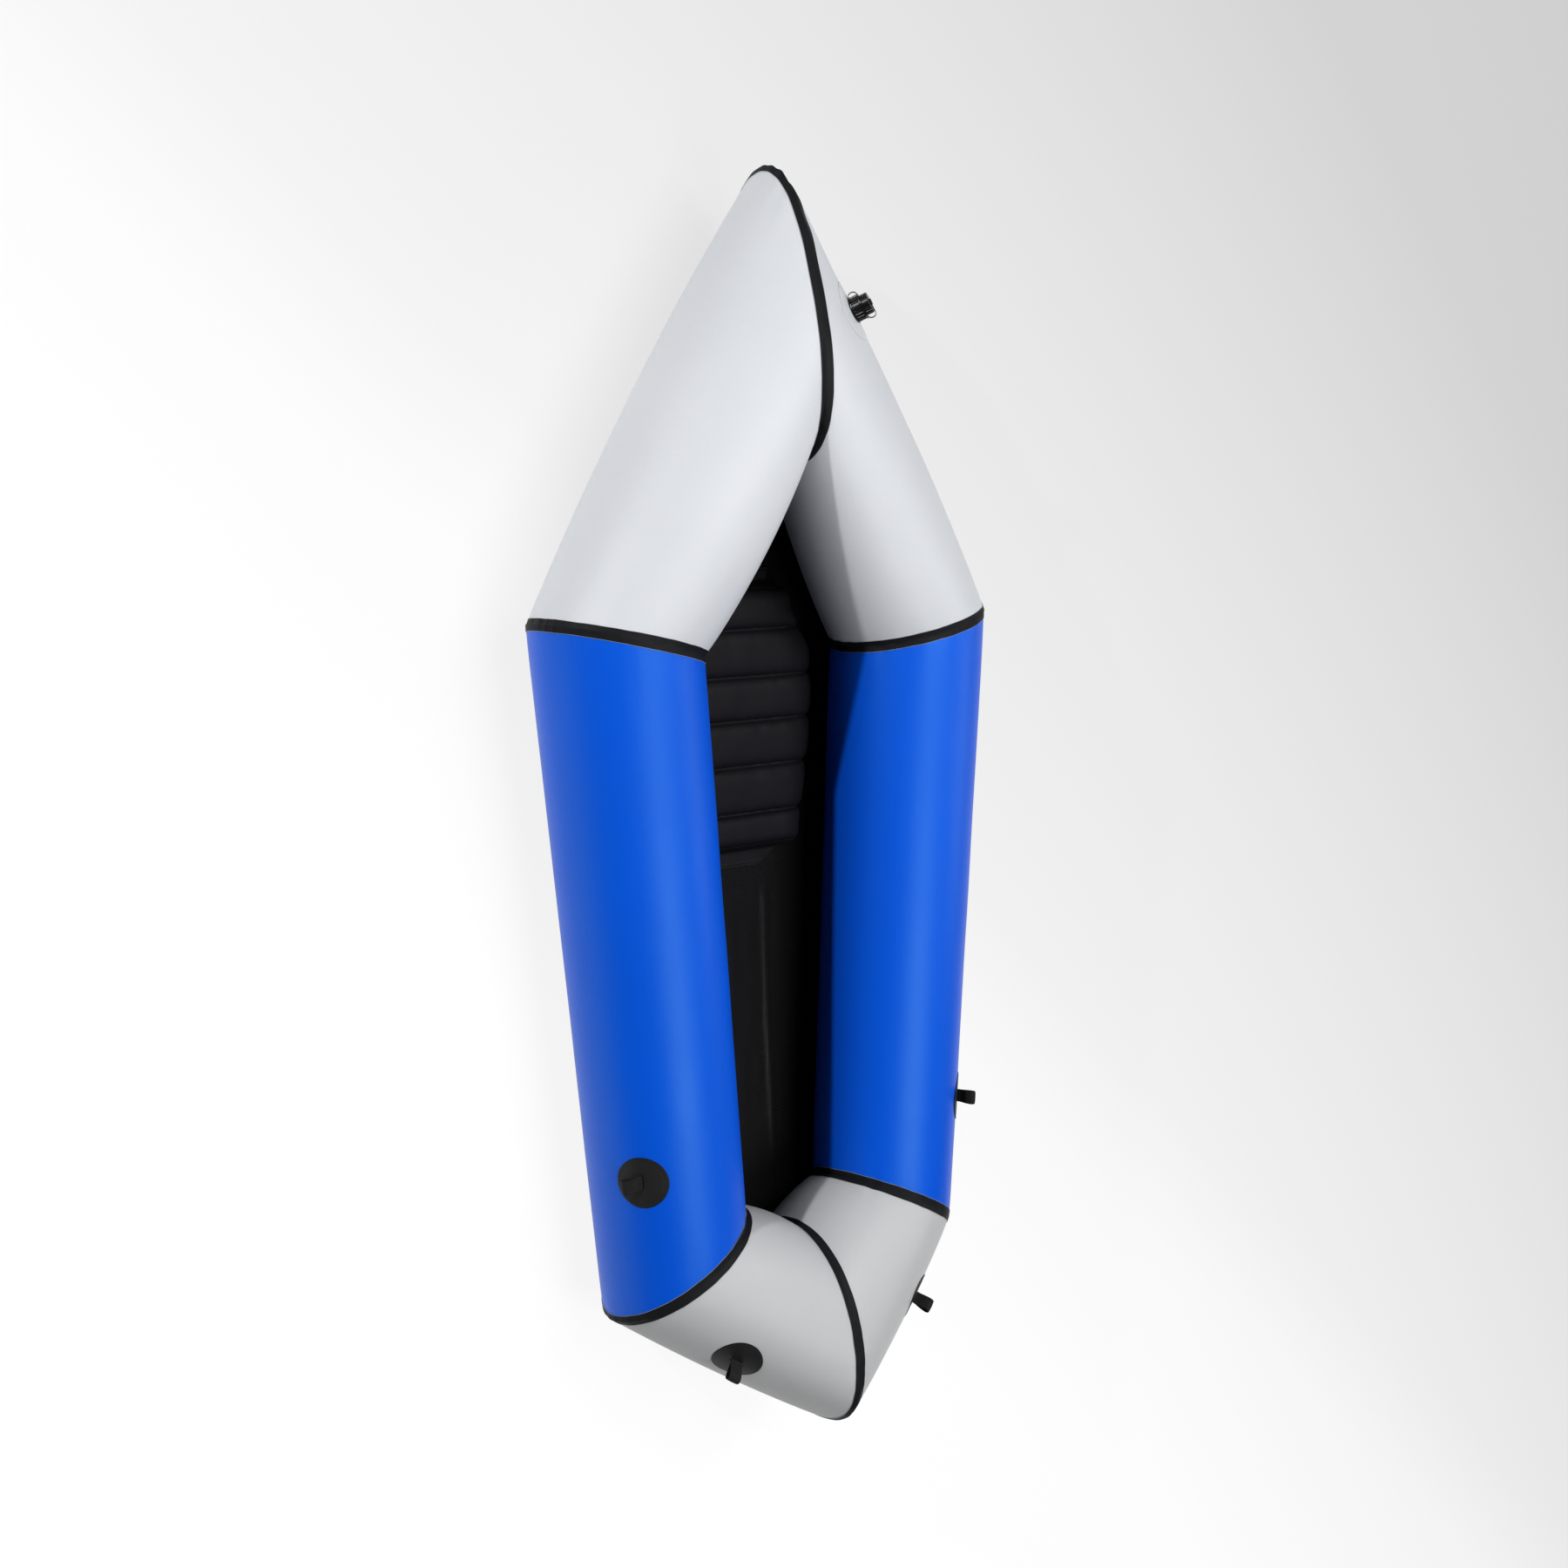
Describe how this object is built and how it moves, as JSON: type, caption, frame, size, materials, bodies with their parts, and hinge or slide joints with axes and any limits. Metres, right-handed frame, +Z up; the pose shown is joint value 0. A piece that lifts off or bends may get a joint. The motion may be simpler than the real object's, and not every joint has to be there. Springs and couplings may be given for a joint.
{
  "type": "packraft",
  "caption": "One-person inflatable packraft: mitred tube ring with a pointed stern and an upturned bow, welded floor, channelled seat, screw valve and tie-down loops.",
  "frame": {"origin": "on the ground plane, at the middle of the length and of the width", "axes": "+Y towards the pointed stern, +Z up, +X to port, the left of a paddler who faces the bow"},
  "size_m": [0.9904, 2.3326, 0.3723],
  "materials": {
    "blue_fabric": "satin",
    "grey_fabric": "satin",
    "black_tape": "satin",
    "black_fabric": "matte",
    "webbing": "matte",
    "black_plastic": "satin",
    "grey_rubber": "matte"
  },
  "bodies": {
    "raft": {"starboard_stern_tube": "grey_fabric", "port_stern_tube": "grey_fabric", "starboard_side_tube": "blue_fabric", "port_side_tube": "blue_fabric", "starboard_bow_tube": "grey_fabric", "port_bow_tube": "grey_fabric", "stern_seam_tape": "black_tape", "bow_seam_tape": "black_tape", "starboard_stern_joint_tape": "black_tape", "port_stern_joint_tape": "black_tape", "starboard_bow_joint_tape": "black_tape", "port_bow_joint_tape": "black_tape", "floor_sheet": "black_fabric", "seat_pad": "black_fabric", "seat_stem": "black_plastic", "starboard_side_patch": "black_tape", "port_side_patch": "black_tape", "starboard_bow_patch": "black_tape", "port_bow_patch": "black_tape", "valve_patch": "grey_fabric", "valve_base": "black_plastic", "valve_gasket": "grey_rubber"},
    "screw_valve_carrier": {"valve_leash": "black_plastic"},
    "screw_valve": {"valve_body": "black_plastic", "valve_membrane": "grey_rubber"},
    "screw_cap_carrier": {"cap_leash": "black_plastic"},
    "screw_cap": {"valve_cap": "black_plastic"},
    "seat_nozzle": {"seat_nozzle": "black_plastic"},
    "starboard_side_loop": {"starboard_side_loop": "webbing"},
    "port_side_loop": {"port_side_loop": "webbing"},
    "starboard_bow_loop": {"starboard_bow_loop": "webbing"},
    "port_bow_loop": {"port_bow_loop": "webbing"}
  },
  "joints": [
    {"name": "valve_body_lift", "type": "slide", "parent": "raft", "child": "screw_valve_carrier", "axis": [0.5797, 0.3947, 0.7129], "range_m": [0, 0.0045]},
    {"name": "valve_body_turn", "type": "hinge", "parent": "screw_valve_carrier", "child": "screw_valve", "pos_m": [0.11655, 0.90693, 0.26804], "axis": [0.5797, 0.3947, 0.7129], "range_deg": [0, 540]},
    {"name": "valve_cap_lift", "type": "slide", "parent": "screw_valve", "child": "screw_cap_carrier", "axis": [0.5797, 0.3947, 0.7129], "range_m": [0, 0.0045]},
    {"name": "valve_cap_turn", "type": "hinge", "parent": "screw_cap_carrier", "child": "screw_cap", "pos_m": [0.11655, 0.90693, 0.26804], "axis": [0.5797, 0.3947, 0.7129], "range_deg": [0, 540]},
    {"name": "seat_nozzle_turn", "type": "hinge", "parent": "raft", "child": "seat_nozzle", "pos_m": [0.049, 0.45016, 0.01242], "axis": [-1, 0, 0], "range_deg": [0, 90]},
    {"name": "starboard_side_loop_flop", "type": "hinge", "parent": "raft", "child": "starboard_side_loop", "pos_m": [-0.38065, -0.61178, 0.23606], "axis": [-0.0822, 0.9965, 0.0132], "range_deg": [-12, 128]},
    {"name": "starboard_bow_loop_flop", "type": "hinge", "parent": "raft", "child": "starboard_bow_loop", "pos_m": [-0.2181, -0.97645, 0.27931], "axis": [-0.7793, 0.5736, -0.2522], "range_deg": [-55, 85]},
    {"name": "port_side_loop_flop", "type": "hinge", "parent": "raft", "child": "port_side_loop", "pos_m": [0.38065, -0.61178, 0.23606], "axis": [-0.0822, -0.9965, -0.0132], "range_deg": [-95, 45]},
    {"name": "port_bow_loop_flop", "type": "hinge", "parent": "raft", "child": "port_bow_loop", "pos_m": [0.2181, -0.97645, 0.27931], "axis": [-0.7793, -0.5736, 0.2522], "range_deg": [-66, 74]}
  ],
  "couplings": [
    {"joint": "valve_body_lift", "follows": "valve_body_turn", "m_per_rad": 0.00047746},
    {"joint": "valve_cap_lift", "follows": "valve_cap_turn", "m_per_rad": 0.00047746}
  ]
}
